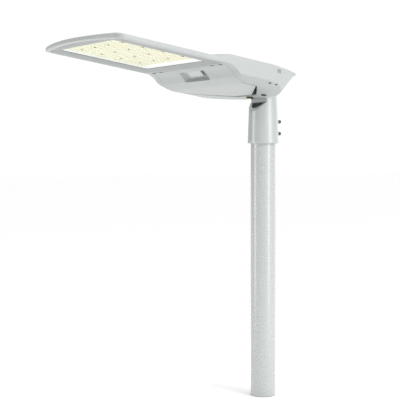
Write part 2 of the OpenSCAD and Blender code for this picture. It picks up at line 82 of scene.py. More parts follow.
def makeLights():
    bpy.context.scene.view_settings.view_transform = "Standard"
    world = bpy.data.worlds.new("paleStudio")
    world.use_nodes = True
    place = addNode(world, "TexCoord").outputs["Generated"]
    part = addNode(world, "SeparateXYZ", {"Vector": place})
    level = addNode(world, "MapRange", {"Value": part.outputs["Y"], "From Min": worldSet["from"],
                                        "From Max": worldSet["to"], "To Min": worldSet["dim"],
                                        "To Max": worldSet["bright"]}, interpolation_type="SMOOTHSTEP")
    backdrop = world.node_tree.nodes["Background"]
    backdrop.inputs["Color"].default_value = (1, 1, 1, 1)
    strength = level.outputs["Result"]
    for heading, edge, low in worldSet["flags"]:
        a = math.radians(heading)
        toward = addNode(world, "VectorMath", {0: place, 1: (math.cos(a), math.sin(a), 0)},
                         operation="DOT_PRODUCT")
        card = addNode(world, "MapRange", {"Value": toward.outputs["Value"], "From Min": edge,
                                           "From Max": 1, "To Min": 1, "To Max": low},
                       interpolation_type="SMOOTHSTEP")
        strength = addNode(world, "Math", {0: strength, 1: card.outputs["Result"]},
                           operation="MULTIPLY").outputs["Value"]
    link(world, strength, backdrop.inputs["Strength"])
    bpy.context.scene.world = world
    for name, (place, target, width, height, watts) in lightSet.items():
        data = bpy.data.lights.new(name, "AREA")
        data.shape = "RECTANGLE"
        data.size, data.size_y, data.energy = width, height, watts
        lamp = bpy.data.objects.new(name, data)
        lamp.location = place
        lamp.rotation_euler = (Vector(target) - Vector(place)).to_track_quat("-Z", "Y").to_euler()
        bpy.context.scene.collection.objects.link(lamp)
    sun = bpy.data.lights.new("softSun", "SUN")
    sun.energy, sun.angle = sunSet["strength"], math.radians(sunSet["softness"])
    bpy.context.scene.collection.objects.link(bpy.data.objects.new("softSun", sun))


# node helpers
def toLinear(hexColour):  # sRGB hex to linear RGBA
    channels = [int(hexColour[i:i + 2], 16) / 255 for i in (1, 3, 5)]
    return tuple(c / 12.92 if c < 0.04045 else ((c + 0.055) / 1.055) ** 2.4 for c in channels) + (1,)


def addNode(material, kind, inputs=None, **settings):  # a value goes in a socket, a socket is linked
    tree = material.node_tree
    node = tree.nodes.new("ShaderNode" + kind)
    for key, value in settings.items():
        setattr(node, key, value)
    for key, value in (inputs or {}).items():
        if isinstance(value, bpy.types.NodeSocket):
            tree.links.new(value, node.inputs[key])
        else:
            node.inputs[key].default_value = value
    return node


def startMaterial(name, **sockets):
    material = bpy.data.materials.new(name)
    material.use_nodes = True
    shader = material.node_tree.nodes["Principled BSDF"]
    for key, value in sockets.items():
        shader.inputs[key.replace("_", " ")].default_value = value
    place = addNode(material, "TexCoord").outputs["Object"]
    return material, shader, place


def perMetre(millimetres):  # texture scale for a pattern of this size
    return 1000 / millimetres


def link(material, output, target):
    material.node_tree.links.new(output, target)


# materials
def powderCoat(name, tone, shade, roughness, coat, peel=4.0, metallic=0.0):
    # polyester powder, sprayed on and baked: satin, with a faint orange peel and slow drifts of tone
    # the peel of the real film is about 1 mm across and is drawn coarser, so that it shows
    material, shader, place = startMaterial(
        name, Metallic=metallic, IOR=1.5, Coat_Weight=coat, Coat_Roughness=0.12)
    drift = addNode(material, "TexNoise", {"Vector": place, "Scale": perMetre(90), "Detail": 3.0})
    mix = addNode(material, "Mix", {"Factor": drift.outputs["Fac"], "A": toLinear(tone),
                                    "B": toLinear(shade)}, data_type="RGBA")
    link(material, mix.outputs["Result"], shader.inputs["Base Color"])
    film = addNode(material, "TexNoise", {"Vector": place, "Scale": perMetre(peel), "Detail": 1.5})
    gloss = addNode(material, "MapRange", {"Value": film.outputs["Fac"], "From Min": 0.3, "From Max": 0.7,
                                           "To Min": roughness - 0.02, "To Max": roughness + 0.03})
    link(material, gloss.outputs["Result"], shader.inputs["Roughness"])
    bump = addNode(material, "Bump", {"Height": film.outputs["Fac"], "Strength": 0.012, "Distance": 0.0001})
    link(material, bump.outputs["Normal"], shader.inputs["Normal"])
    return material


def zincSteel(name, tone, shade, roughness):
    # bright zinc on turned steel: a soft metal sheen with cloudy crystals of about 2 mm
    material, shader, place = startMaterial(name, Metallic=1.0)
    crystal = addNode(material, "TexVoronoi", {"Vector": place, "Scale": perMetre(2.2)})
    mix = addNode(material, "Mix", {"Factor": crystal.outputs["Distance"], "A": toLinear(tone),
                                    "B": toLinear(shade)}, data_type="RGBA")
    link(material, mix.outputs["Result"], shader.inputs["Base Color"])
    grain = addNode(material, "TexNoise", {"Vector": place, "Scale": perMetre(0.8)})
    gloss = addNode(material, "MapRange", {"Value": grain.outputs["Fac"], "To Min": roughness - 0.08,
                                           "To Max": roughness + 0.12})
    link(material, gloss.outputs["Result"], shader.inputs["Roughness"])
    return material


def mouldedPlastic(name, tone, shade, roughness, grain=1.2, bumpDepth=0.00008, ior=1.5):
    # injection moulded in a spark-eroded tool: even colour with a fine matt grain
    material, shader, place = startMaterial(name, IOR=ior)
    texture = addNode(material, "TexNoise", {"Vector": place, "Scale": perMetre(grain), "Detail": 2.0})
    mix = addNode(material, "Mix", {"Factor": texture.outputs["Fac"], "A": toLinear(tone),
                                    "B": toLinear(shade)}, data_type="RGBA")
    link(material, mix.outputs["Result"], shader.inputs["Base Color"])
    gloss = addNode(material, "MapRange", {"Value": texture.outputs["Fac"], "To Min": roughness - 0.06,
                                           "To Max": roughness + 0.08})
    link(material, gloss.outputs["Result"], shader.inputs["Roughness"])
    bump = addNode(material, "Bump", {"Height": texture.outputs["Fac"], "Strength": 0.3,
                                      "Distance": bumpDepth})
    link(material, bump.outputs["Normal"], shader.inputs["Normal"])
    return material


def clearAcrylic(name):
    # PMMA moulded in a polished tool and laid on a white board: each dome magnifies the yellow phosphor
    # under it, so the eye sees a glossy white plate with a yellow disc in every lens
    material, shader, place = startMaterial(name, IOR=1.49, Coat_Weight=0.6, Coat_Roughness=0.06)
    share = addNode(material, "Attribute", attribute_name="domeShare").outputs["Fac"]
    disc = addNode(material, "MapRange", {"Value": share, "From Min": 0.30, "From Max": 0.62},
                   interpolation_type="SMOOTHSTEP")
    ripple = addNode(material, "TexNoise", {"Vector": place, "Scale": perMetre(7)})
    tint = addNode(material, "Mix", {"Factor": ripple.outputs["Fac"], "A": toLinear("#dcd795"),
                                     "B": toLinear("#cac57c")}, data_type="RGBA")
    mix = addNode(material, "Mix", {"Factor": disc.outputs["Result"], "A": toLinear("#f7f8f0"),
                                    "B": tint.outputs["Result"]}, data_type="RGBA")
    link(material, mix.outputs["Result"], shader.inputs["Base Color"])
    gloss = addNode(material, "MapRange", {"Value": ripple.outputs["Fac"], "To Min": 0.10, "To Max": 0.22})
    link(material, gloss.outputs["Result"], shader.inputs["Roughness"])
    return material


materials = {
    "pole_enamel": powderCoat("poleEnamelOnSteel", "#bfc3c2", "#bbbfbe", 0.28, 0.4, 5.0, 0.2),
    "sleeve_enamel": powderCoat("castEnamelSleeve", "#bfc3c2", "#babebd", 0.30, 0.35, 2.5, 0.2),
    "head_enamel": powderCoat("castEnamelHead", "#b1b5b4", "#adb1b0", 0.42, 0.15),
    "cover_enamel": powderCoat("castEnamelCover", "#b2b6b5", "#adb2b1", 0.45, 0.1),
    "frame_enamel": powderCoat("castEnamelFrame", "#969b9a", "#929796", 0.45, 0.1),
    "latch_enamel": powderCoat("castEnamelLatch", "#c4c9c8", "#bcc2c1", 0.42, 0.2, 3.0),
    "zinc_steel": zincSteel("brightZincSteel", "#d9dad6", "#b9bcbc", 0.32),
    "tray_steel": zincSteel("galvanisedTraySteel", "#c3c8ca", "#a2a8ab", 0.42),
    "black_cap": mouldedPlastic("blackNylonCap", "#3a3c3d", "#2b2d2e", 0.5),
    "black_plastic": mouldedPlastic("blackPolyamide", "#333536", "#262829", 0.5),
    "black_screw": zincSteel("blackenedScrewSteel", "#4a4742", "#2e2c29", 0.45),
    "seal_rubber": mouldedPlastic("epdmRubber", "#4a4d4d", "#3b3e3e", 0.75, 0.8, 0.0001, 1.52),
    "white_tray": mouldedPlastic("whitePaintedTray", "#fbfcfb", "#f4f6f5", 0.45, 3.0, 0.00003),
    "board_white": mouldedPlastic("whiteSolderMask", "#f8f8f4", "#eeefe9", 0.35, 2.0, 0.00003),
    "lens_acrylic": clearAcrylic("pmmaLens"),
    "pad_grey": mouldedPlastic("siliconeThermalPad", "#9a9da0", "#8b8e91", 0.8, 1.0),
    "vial_green": mouldedPlastic("tintedVialAcrylic", "#b9cf3c", "#a8c02f", 0.12, 6.0, 0.00001, 1.49),
    "driver_case": mouldedPlastic("whitePolycarbonateCase", "#eceeee", "#e3e6e6", 0.42),
    "terminal_nylon": mouldedPlastic("naturalNylon", "#e9e7dc", "#dfdccf", 0.45),
    "surge_case": mouldedPlastic("greyPolycarbonateCase", "#bcc1c4", "#b0b6b9", 0.45),
    "gland_nylon": mouldedPlastic("greyNylonGland", "#55595b", "#484c4e", 0.5),
    "lead_sheath": mouldedPlastic("pvcLeadSheath", "#e4e5e2", "#d6d8d4", 0.45, 2.5),
    "plate_grey": mouldedPlastic("blankGreyPlate", "#8f9698", "#838a8c", 0.45),
}


def dressNodes():  # every CAD node that stays in sight gets its slot's material
    for part in frame["record"]["subparts"]:
        node = frame["nodes"][part["node"]]
        node.data.materials.clear()
        node.data.materials.append(materials[part["material_slot"]])


# shape helpers, all in millimetres
headSet = {"tilt": 8.0, "planeAbovePivot": 16.5}
headMatrix = (Matrix.Translation((0, 0, (jointAt["head_tilt"].z + headSet["planeAbovePivot"]) / 1000))
              @ Matrix.Rotation(math.radians(-headSet["tilt"]), 4, "X") @ Matrix.Scale(0.001, 4))
poleMatrix = Matrix.Scale(0.001, 4)


def inHead(w, u, n):  # across, forward and up from the lens plane
    return Vector((w, -u, n))


def newObject(name, bm):
    bmesh.ops.recalc_face_normals(bm, faces=bm.faces)
    mesh = bpy.data.meshes.new(name)
    bm.to_mesh(mesh)
    bm.free()
    piece = bpy.data.objects.new(name, mesh)
    bpy.context.scene.collection.objects.link(piece)
    return piece


def skinRings(rings):  # a tube of rings, with a cap on each end
    bm = bmesh.new()
    made = [[bm.verts.new(p) for p in ring] for ring in rings]
    for low, high in zip(made, made[1:]):
        for i in range(len(low)):
            j = (i + 1) % len(low)
            bm.faces.new((low[i], low[j], high[j], high[i]))
    bm.faces.new(made[0])
    bm.faces.new(made[-1])
    return bm


def prism(low, high, n0, n1, name="tool"):  # outlines are lists of (w, u)
    rings = [[inHead(w, u, n0) for w, u in low], [inHead(w, u, n1) for w, u in high]]
    return newObject(name, skinRings(rings))


def brick(a, b, name="tool"):
    outline = [(a[0], a[1]), (b[0], a[1]), (b[0], b[1]), (a[0], b[1])]
    return prism(outline, outline, a[2], b[2], name)


def across(outline, w0, w1, name="tool"):  # a (u, n) outline run across the head
    return newObject(name, skinRings([[inHead(w, u, n) for u, n in outline] for w in (w0, w1)]))


def circle(centre, radius, steps, start=0.0, end=360.0):  # (w, u) points, the angle runs from +u to +w
    turns = steps if abs(end - start) >= 360 else steps - 1
    angles = [math.radians(start + (end - start) * i / turns) for i in range(steps)]
    return [(centre[0] + radius * math.sin(a), centre[1] + radius * math.cos(a)) for a in angles]


def bend(before, corner, after, reach, steps):  # eases a corner of a (w, u) outline
    corner, before, after = Vector(corner), Vector(before), Vector(after)
    a = corner + (before - corner).normalized() * min(reach, (before - corner).length * 0.45)
    b = corner + (after - corner).normalized() * min(reach, (after - corner).length * 0.45)
    shares = [i / (steps - 1) for i in range(steps)]
    return [tuple(a * (1 - t) ** 2 + corner * 2 * t * (1 - t) + b * t * t) for t in shares]


def turned(profile, base, axis, steps=48, name="tool"):  # a closed (radius, height) profile, turned
    turn = Vector(axis).to_track_quat("Z", "Y")
    bm = bmesh.new()
    rings = []
    for i in range(steps):
        a = 2 * math.pi * i / steps
        rings.append([bm.verts.new(turn @ Vector((r * math.cos(a), r * math.sin(a), z)) + Vector(base))
                      for r, z in profile])
    for i, ring in enumerate(rings):
        after = rings[(i + 1) % steps]
        for k in range(len(profile)):
            m = (k + 1) % len(profile)
            bm.faces.new((ring[k], ring[m], after[m], after[k]))
    bmesh.ops.remove_doubles(bm, verts=bm.verts, dist=0.0005)
    bmesh.ops.dissolve_degenerate(bm, edges=bm.edges, dist=0.0005)
    return newObject(name, bm)


def bakeModifiers(piece):
    mesh = bpy.data.meshes.new_from_object(piece.evaluated_get(bpy.context.evaluated_depsgraph_get()))
    piece.modifiers.clear()
    piece.data = mesh


def carve(piece, tool, how="DIFFERENCE"):
    step = piece.modifiers.new("carve", "BOOLEAN")
    step.object, step.operation, step.solver = tool, how, "EXACT"
    bakeModifiers(piece)
    bpy.data.objects.remove(tool)


def softenEdges(piece, width, segments=2, angle=32):
    step = piece.modifiers.new("soften", "BEVEL")
    step.width, step.segments, step.angle_limit = width, segments, math.radians(angle)
    step.limit_method = "ANGLE"
    step.miter_outer = "MITER_ARC"
    bakeModifiers(piece)


def joinPieces(pieces, name):
    bm = bmesh.new()
    for piece in pieces:
        bm.from_mesh(piece.data)
        bpy.data.objects.remove(piece)
    return newObject(name, bm)


def place(piece, name, slotName, body, nodes, matrix=headMatrix, sharp=35):
    piece.name = name
    piece.data.name = name
    piece.data.transform(matrix)
    piece.data.polygons.foreach_set("use_smooth", [True] * len(piece.data.polygons))
    piece.data.set_sharp_from_angle(angle=math.radians(sharp))
    piece.data.materials.clear()
    piece.data.materials.append(materials[slotName])
    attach(piece, body)
    if nodes:
        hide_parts(*nodes)
    return piece


def placeRow(pieces, name, *rest):
    return place(joinPieces(pieces, name), name, *rest)


def rod(r, low, high):  # a profile for turned()
    return [(0.01, low), (r, low), (r, high), (0.01, high)]


def arc(x, y, r, start, step, count):  # points round (x, y), angles in degrees from +x towards +y
    angles = [math.radians(start + step * i) for i in range(count)]
    return [(x + r * math.cos(a), y + r * math.sin(a)) for a in angles]


def smoothStep(x):
    x = min(max(x, 0), 1)
    return x * x * (3 - 2 * x)


def edgeDrop(d, r):  # how far a rounded edge of radius r has dropped at d from the side
    return 0 if d >= r else r - math.sqrt(max(r * r - (r - d) ** 2, 0))


def along(line, x):  # a smooth curve through the points of a line
    if x <= line[0][0]:
        return line[0][1]
    if x >= line[-1][0]:
        return line[-1][1]
    i = max(k for k in range(len(line) - 1) if line[k][0] <= x)
    slope = [(line[k + 1][1] - line[k][1]) / (line[k + 1][0] - line[k][0]) for k in range(len(line) - 1)]

    def tangent(k):
        if k in (0, len(line) - 1) or slope[k - 1] * slope[k] <= 0:
            return 0
        return 2 * slope[k - 1] * slope[k] / (slope[k - 1] + slope[k])
    (x0, y0), (x1, y1) = line[i], line[i + 1]
    h = x1 - x0
    t = (x - x0) / h
    return (y0 * (1 + 2 * t) * (1 - t) ** 2 + tangent(i) * h * t * (1 - t) ** 2
            + y1 * t * t * (3 - 2 * t) + tangent(i + 1) * h * t * t * (t - 1))


def mirrored(half):  # a right-hand outline from the centre line to the centre line, made whole
    return half + [(-w, u) for w, u in reversed(half[1:-1])]


# head housing: one casting, the flat slab in front and the gear space behind
housing = {
    "halfW": 172.0, "front": 525.0, "frontR": 590.0, "cornerR": 18.0,   # plan of the slab
    "slabRear": 224.0, "crown": 8.0, "crownIn": 45.0,
    "bendAt": 100.0, "step": (158.0, 55.0), "tail": (112.0, -60.0),     # the sides turn in at the rear
    "rearU": 250.0, "rearLow": 237.0, "rearHigh": 279.0, "lowN": -50.0, "highN": 16.0,
    "sideLow": -26.0, "bandIn": 21.0, "sideTop": 12.0, "shoulder": 24.0,
    "edgeRound": 2.2, "lowRound": 1.6,
    "low": -41.0, "high": 12.0,                                         # where the outer wall runs
}
humpLine = [(-60, 9), (60, 13), (100, 16), (200, 15), (229, 11.5), (250, 7), (270, 2.5), (285, 0),
            (300, -8)]
sideTopLine = [(200, 12), (214, 11), (232, 5), (246, 0), (260, -8)]
bellyLine = [(40, -41), (156, -41), (163, -40.6), (178, -35), (188, -30), (196, -22), (205, -15),
             (213, -12), (222, -9), (240, -9)]
pivot = {"u": -2.3, "n": -16.34}
neck = {"r": 33.3, "half": 31.2, "front": 12.0, "drop": 13.4, "slope": 15.0, "earRoom": 26.8, "earR": 9.0,
        "wellR": 38.0, "wellFront": 16.7, "boltOut": 45.2, "boltFront": 9.5}
window = {"rear": 255.0, "front": 484.5, "half": 122.4, "corner": 6.0, "lip": -5.5, "seal": 3.5}
light = {"rear": 266.5, "pitchU": 51.0, "pitchW": 60.8, "count": 4, "lens": 2.4}
cover = {"rear": 56.0, "front": 222.0, "half": 150.0, "tail": 36.0, "wide": 130.0, "round": 12.0,
         "floor": 3.0, "rim": 5.5, "rimT": 3.0, "hingeU": 65.0, "hingeN": -31.0, "lugAt": 24.0,
         "lugHalf": 3.5, "lugR": 5.5, "lugFoot": -40.0}
latch = {"u": 198.5, "n": -21.5, "lean": 35.0, "outHalf": 56.0, "inHalf": 44.0, "length": 30.0,
         "depth": 12.0, "pinDepth": 7.75}


def rearRadius(n):
    share = (n - housing["lowN"]) / (housing["highN"] - housing["lowN"])
    return housing["rearLow"] + (housing["rearHigh"] - housing["rearLow"]) * share


def meetCircle(start, end, centre, r):  # where a line leaves a circle
    slope, offset = Vector(end) - Vector(start), Vector(start) - centre
    a, b, k = slope.dot(slope), 2 * slope.dot(offset), offset.length_squared - r * r
    return Vector(start) + slope * ((-b + math.sqrt(b * b - 4 * a * k)) / (2 * a))


def slabCorner(inset):  # the curved front edge and its round corner, from the centre line outwards
    centre = housing["front"] - housing["frontR"]
    inner = housing["frontR"] - housing["cornerR"]
    w = housing["halfW"] - housing["cornerR"]
    u = centre + math.sqrt(inner ** 2 - w ** 2)
    turn = math.degrees(math.atan2(w, u - centre))
    return (circle((0, centre), housing["frontR"] - inset, 24, 0, turn)
            + circle((w, u), housing["cornerR"] - inset, 9, turn, 90)[1:])


def headOutline(n):
    front = slabCorner(0)
    u1 = front[-1][1]
    steps = round((u1 - housing["bendAt"] - 8) / 5)
    side = [(housing["halfW"], u1 + (housing["bendAt"] + 8 - u1) * i / steps) for i in range(1, steps)]
    corner, step, tail = (housing["halfW"], housing["bendAt"]), housing["step"], housing["tail"]
    r, c = rearRadius(n), Vector((0, housing["rearU"]))
    if (Vector(step) - c).length < r:
        meet = meetCircle(step, tail, c, r)
    else:  # low down, the round rear end cuts the side off before the step
        meet = meetCircle(corner, step, c, r)
        step = tuple((Vector(corner) + meet) / 2)
    angle = math.degrees(math.atan2(meet.x, meet.y - c.y))
    rear = circle(tuple(c), r, 24, angle + 2.4, 180)
    return (front + side + bend((housing["halfW"], u1), corner, step, 8, 5)
            + bend(corner, step, tuple(meet), 7, 5) + bend(step, tuple(meet), rear[0], 9, 7) + rear[1:])


def headTop(w, u, d):
    shoulder = housing["sideTop"] + 4 * smoothStep(d / housing["shoulder"])
    fall = along(sideTopLine, u) + 0.95 * d if u > sideTopLine[0][0] else shoulder
    hump = min(along(humpLine, u), shoulder, fall)
    if u < housing["slabRear"]:
        top = hump
    else:
        slab = housing["crown"] * (1 - (1 - min(d / housing["crownIn"], 1)) ** 2)
        top = max(slab, hump)
    return top - edgeDrop(d, housing["edgeRound"])


def headBottom(w, u, d):
    band = housing["sideLow"] - 15 * min(max((housing["halfW"] - abs(w)) / housing["bandIn"], 0), 1)
    return max(along(bellyLine, u), band) + edgeDrop(d, housing["lowRound"])


def ringSolid(outline, lowN, highN, spine, insets, shares, top, bottom, name):
    # a plate built of rings that run parallel to its edge and close on a spine down the middle
    low, high = outline(lowN), outline(highN)
    half = len(high)
    rows = [(mm, 0) for mm in insets] + [(insets[-1], share) for share in shares]

    def ring(shape, row, height):
        points = []
        for w, u in shape:
            middle = Vector((0, min(max(u, spine[0]), spine[1])))
            edge = Vector((w, u))
            length = (middle - edge).length
            d = row[0] + row[1] * (length - row[0])
            p = edge + (middle - edge) * (d / length)
            points.append((p.x, p.y, height(p.x, p.y, d)))
        return points
    halves = [ring(high, row, top) for row in reversed(rows)]
    upper, lower = halves[-1], ring(low, rows[0], bottom)
    for share in (0.93, 0.8, 0.6, 0.4, 0.2, 0.07):
        wall = []
        for a, b, hi, lo in zip(upper, lower, high, low):
            n = b[2] + (a[2] - b[2]) * share
            k = (n - lowN) / (highN - lowN)
            wall.append((lo[0] + (hi[0] - lo[0]) * k, lo[1] + (hi[1] - lo[1]) * k, n))
        halves.append(wall)
    halves += [ring(low, row, bottom) for row in rows]
    bm = bmesh.new()
    loops = []
    for points in halves:
        right = [bm.verts.new(inHead(*p)) for p in points]
        left = [bm.verts.new(inHead(-p[0], p[1], p[2])) for p in reversed(points[1:-1])]
        loops.append(right + left)
    count = len(loops[0])
    for a, b in zip(loops, loops[1:]):
        for i in range(count):
            j = (i + 1) % count
            bm.faces.new((a[i], a[j], b[j], b[i]))
    for loop in (loops[0], loops[-1]):
        bm.faces.new((loop[0], loop[1], loop[count - 1]))
        bm.faces.new((loop[half - 2], loop[half - 1], loop[half]))
        for i in range(1, half - 2):
            bm.faces.new((loop[i], loop[i + 1], loop[count - i - 1], loop[count - i]))
    return newObject(name, bm)


def coverEdge(grow, rear, front=None):  # right half of the cover's shield outline, front to rear
    front = cover["front"] if front is None else front
    half, tail = cover["half"] + grow, cover["tail"] + grow
    wide = (half, cover["wide"] - grow)
    return ([(half * i / 12, front) for i in range(12)] + [(half, front)]
            + bend((half, front), wide, (tail, rear), cover["round"] * 0.6 + grow, 7)
            + bend(wide, (tail, rear), (0, rear), cover["round"] * 0.7 + grow, 7) + [(0, rear)])


def bellyBlock(outline, low, high, w, name="tool"):
    # what lies between two copies of the belly's curve, trimmed to a plan outline
    stations = [40 + 3.5 * i for i in range(34)] + [160 + 2 * i for i in range(33)]
    curve = [(u, along(bellyLine, u)) for u in stations]
    under, over = [(u, n + low) for u, n in curve], [(u, n + high) for u, n in reversed(curve)]
    piece = across(under + over, -w, w, name)
    whole = mirrored(outline)
    carve(piece, prism(whole, whole, -90, 60), "INTERSECT")
    return piece


def latchTool(rings, name="tool"):  # rings in the latch's own frame: across, along and deep
    turn = Matrix.Rotation(math.radians(-latch["lean"]), 4, "X")
    base = inHead(0, latch["u"], latch["n"])
    return newObject(name, skinRings([[base + turn @ Vector(p) for p in ring] for ring in rings]))


def scoop(grow):  # the finger pocket's block, wider at its mouth, with round corners
    rings = []
    deep, narrow = latch["depth"], latch["inHalf"]
    for depth, half in ((-9, latch["outHalf"]), (deep * 0.55, narrow + 4.5), (deep * 0.85, narrow + 1),
                        (deep, narrow - 3)):
        a, b = half + grow, latch["length"] / 2 + grow - (2.5 if depth == deep else 0)
        outline = []
        for corner, before, after in (((a, b), (a, -b), (-a, b)), ((-a, b), (a, b), (-a, -b)),
                                      ((-a, -b), (-a, b), (a, -b)), ((a, -b), (-a, -b), (a, b))):
            outline += bend(before, corner, after, 4 + grow, 5)
        rings.append([Vector((x, y, depth + (grow if depth > 0 else 0))) for x, y in outline])
    return latchTool(rings)


def neckPost():
    outline = []
    lean = math.degrees(math.asin(neck["half"] / neck["r"]))
    flat = math.degrees(math.acos(neck["front"] / neck["r"]))
    outline += circle((0, pivot["u"]), neck["r"], 3, flat, lean)
    outline += circle((0, pivot["u"]), neck["r"], 15, 180 - lean, 180 + lean)
    outline += circle((0, pivot["u"]), neck["r"], 3, 360 - lean, 360 - flat)
    front = pivot["u"] + neck["front"]
    outline = [(min(max(w, -neck["half"]), neck["half"]), min(u, front)) for w, u in outline]
    post = prism(outline, outline, pivot["n"] - 40, 0)
    foot, slope = pivot["n"] - neck["drop"], math.tan(math.radians(neck["slope"]))
    roof = [(80, -90), (80, foot), (pivot["u"], foot), (-80, foot + (80 + pivot["u"]) * slope), (-80, -90)]
    carve(post, across(roof, -90, 90))
    back = pivot["u"] - neck["r"]
    start, end = back - 60, back + 12   # the back of the block is cut off at a slant
    foot = pivot["n"] + 5
    carve(post, across([(start, foot - 60 * 0.84 + 200), (start, foot - 60 * 0.84), (end, foot + 12 * 0.84),
                        (end, 60)], -90, 90))
    return post, roof


lightRoom = {"inset": 11.6, "rear": 231.6, "top": -3.0, "boardFront": 471.3, "boardTop": 4.4}


def cutLightRoom(piece):
    edge = slabCorner(lightRoom["inset"])
    outline = mirrored(edge + [(edge[-1][0], lightRoom["rear"]), (0, lightRoom["rear"])])
    carve(piece, prism(outline, outline, -60, lightRoom["top"]))
    grow = window["seal"] + 0.4
    carve(piece, brick((-window["half"] - grow, window["rear"] - grow, -60),
                       (window["half"] + grow, window["front"] + grow, light["lens"])))
    carve(piece, brick((-window["half"], window["rear"] + 0.2, -60),
                       (window["half"], lightRoom["boardFront"], lightRoom["boardTop"])))


gearRoom = {"low": -38.0, "high": 9.0, "wall": 7.0, "half": 147.0, "front": 214.0, "neckHalf": 48.2,
            "neckEnd": 12.5, "swing": 12.8, "swingSide": 1.8}


def cutGearSpace(piece):  # its rear wall leans like the outside, and stops beside the neck's block
    floors = []
    for n in (gearRoom["low"], gearRoom["high"]):
        r = rearRadius(n) - gearRoom["wall"]
        wide, close = (math.degrees(math.asin(w / r)) for w in (gearRoom["half"], gearRoom["neckHalf"]))
        rear = circle((0, housing["rearU"]), r, 16, 180 - wide, 180 - close)
        front, neckEnd = gearRoom["front"], gearRoom["neckEnd"]
        floors.append(mirrored([(0, front), (gearRoom["half"], front)] + rear
                               + [(gearRoom["neckHalf"], neckEnd), (0, neckEnd)]))
    carve(piece, prism(floors[0], floors[1], gearRoom["low"], gearRoom["high"]))


drain = {"at": (86, 104), "half": 3.0, "low": -31.5, "high": -28.5, "inner": 158.0}
arms = {"at": (-31, -17, 17, 31), "half": 3.1, "r": 5.5, "narrow": 4.5, "pins": (-24, 24), "pinR": 2.1,
        "pinReach": 14.0}
posts = {"w": (-118, 118), "u": (85, 200), "r": 6.0, "low": 6.0}
insideTop = 10.0   # a little above the gear space's ceiling, so that what hangs from it is one with it
fins = {"count": 11, "pitch": 20.0, "half": 1.5, "rear": 290.0, "front": 460.0, "low": 6.1, "high": 14.0}


def addInside(piece):  # hinge arms with their pin holes, and tray posts
    u, n, half = cover["hingeU"], cover["hingeN"], arms["half"]
    hook = arc(u, n, arms["r"], -180, 15, 13)
    for w in arms["at"]:
        arm = across(hook + [(u + arms["narrow"], insideTop), (u - arms["narrow"], insideTop)],
                     w - half, w + half)
        carve(piece, arm, "UNION")
    for w in arms["pins"]:
        carve(piece, turned(rod(arms["pinR"], -arms["pinReach"], arms["pinReach"]), inHead(w, u, n),
                            (1, 0, 0), 24))
    for w in posts["w"]:
        for postU in posts["u"]:
            post = circle((w, postU), posts["r"], 24)
            carve(piece, prism(post, post, posts["low"], insideTop), "UNION")


def makeFins():
    rear, front, low, high = fins["rear"], fins["front"], fins["low"], fins["high"]
    side = [(rear, low), (rear + 0.6, high - 1.4), (rear + 2, high), (front - 2, high),
            (front - 0.6, high - 1.4), (front, low)]
    reach = fins["count"] // 2
    row = [across(side, fins["pitch"] * k - fins["half"], fins["pitch"] * k + fins["half"])
           for k in range(-reach, reach + 1)]
    for fin in row:
        softenEdges(fin, 0.5, 2, 30)
    placeRow(row, "cooling_fin_row", "head_enamel", "head", ["head_housing"])


def makeHousing():
    insets = [0, 0.15, 0.4, 0.8, 1.4, 2.2, 4, 7, 11, 16, 24, 34, 45]   # close together on the round edge
    shares = [0.12, 0.25, 0.4, 0.55, 0.7, 0.85, 0.97]
    piece = ringSolid(headOutline, housing["low"], housing["high"], (60, 420), insets, shares,
                      headTop, headBottom, "head_housing_body")
    print("housing skin done")
    cutGearSpace(piece)
    carve(piece, bellyBlock(coverEdge(gearRoom["swingSide"], cover["rear"] - gearRoom["swing"],
                                      housing["slabRear"]), -30, 7.4, cover["half"] + 1))
    cutLightRoom(piece)
    post, roof = neckPost()
    rim = circle((0, pivot["u"]), neck["wellR"], 48)
    well = prism(rim, rim, -80, pivot["n"])
    carve(well, across(roof, -60, 60), "INTERSECT")
    carve(well, brick((-60, -80, -90), (60, neck["wellFront"], 60)), "INTERSECT")
    carve(piece, well)
    for side in (-1, 1):  # room for the bolt heads
        a, b = sorted((side * neck["half"], side * neck["boltOut"]))
        carve(piece, brick((a, -80, -80), (b, neck["boltFront"], pivot["n"] + 10)))
    carve(piece, post, "UNION")
    carve(piece, brick((-neck["earRoom"], pivot["u"] - neck["earR"], pivot["n"] - 40),
                       (neck["earRoom"], pivot["u"] + neck["earR"], pivot["n"] + neck["earR"])))
    addInside(piece)
    for u in drain["at"]:
        carve(piece, brick((drain["inner"], u - drain["half"], drain["low"]),
                           (housing["halfW"] + 0.5, u + drain["half"], drain["high"])))
    softenEdges(piece, 0.45, 2, 28)
    return place(piece, "head_housing_body", "head_enamel", "head", ["head_housing"])


# gear cover: a shallow shell with a rim and a scooped finger pocket
def makeCover():
    piece = bellyBlock(coverEdge(0, cover["rear"]), 0, cover["rim"], cover["half"] + 5, "gear_cover_shell")
    inner = coverEdge(-cover["rimT"], cover["rear"] + cover["rimT"], cover["front"] - 6)
    carve(piece, bellyBlock(inner, cover["floor"], 40, cover["half"]))
    pocketWall = scoop(2.5)
    limit = bellyBlock(coverEdge(-1, cover["rear"]), 0.4, 46, cover["half"])
    carve(pocketWall, limit, "INTERSECT")
    carve(piece, pocketWall, "UNION")
    carve(piece, scoop(0))
    u, n, half = cover["hingeU"], cover["hingeN"], cover["lugHalf"]
    top, foot = arc(u, n, cover["lugR"], 0, 10, 19), cover["lugFoot"]
    for w in (-cover["lugAt"], cover["lugAt"]):
        lug = across(top + [(u - 4.5, foot), (u + 4.5, foot)], w - half, w + half)
        carve(piece, lug, "UNION")
    softenEdges(piece, 0.6, 3, 26)
    return place(piece, "gear_cover_shell", "cover_enamel", "gear_cover", ["gear_cover"])


